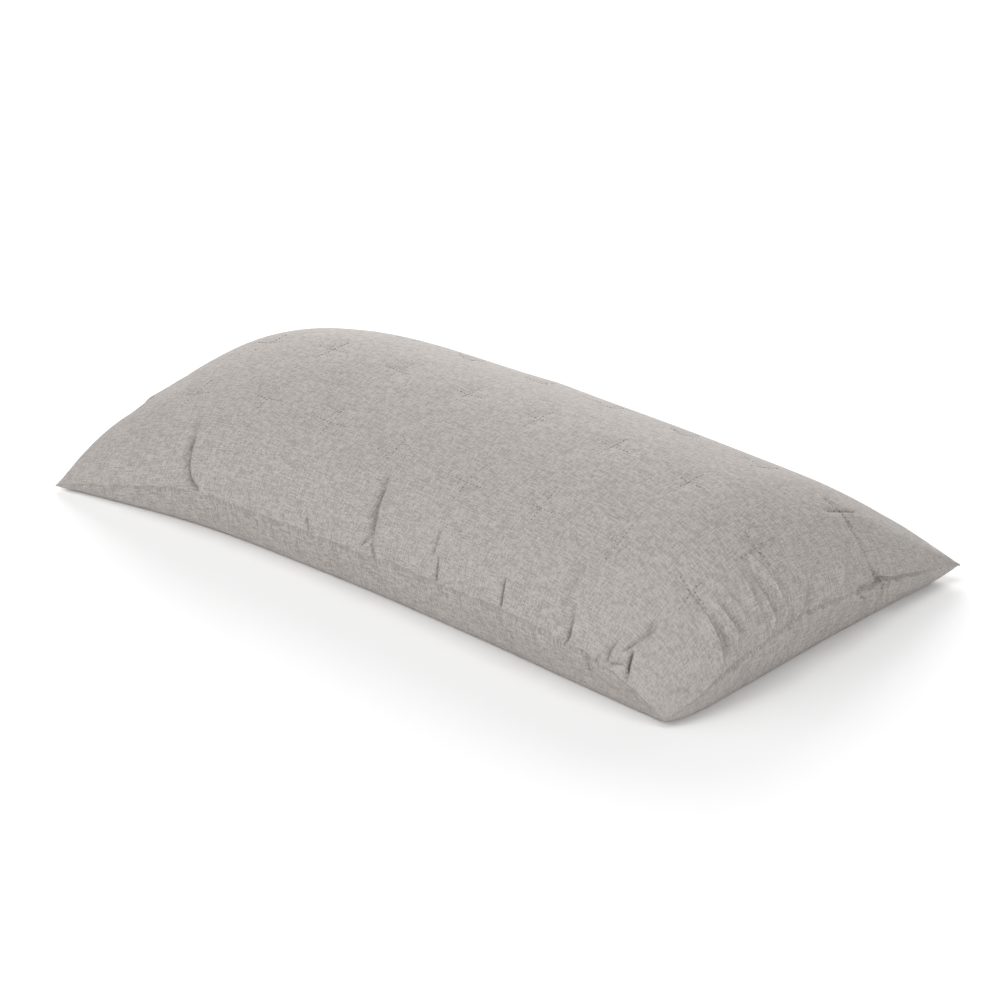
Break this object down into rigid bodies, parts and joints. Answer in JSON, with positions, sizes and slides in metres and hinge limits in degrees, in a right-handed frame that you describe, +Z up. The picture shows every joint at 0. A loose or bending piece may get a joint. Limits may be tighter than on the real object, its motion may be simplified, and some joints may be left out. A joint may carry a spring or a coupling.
{
  "type": "lumbar pillow",
  "caption": "Long rectangular filled lumbar pillow of plain heathered cloth, crowned, with drawn-in sides, a knife-edge seam and a tacked top.",
  "frame": {"origin": "bottom centre of the bounding box, on the surface that the pillow lies on", "axes": "+X along the pillow, +Y across it towards its back long side, +Z up out of the top panel"},
  "size_m": [0.6, 0.338, 0.1134],
  "materials": {
    "heathered_cloth": "matte plain weave in a heathered light warm grey"
  },
  "bodies": {
    "root": {"filled_pillow": "heathered_cloth"}
  },
  "joints": []
}
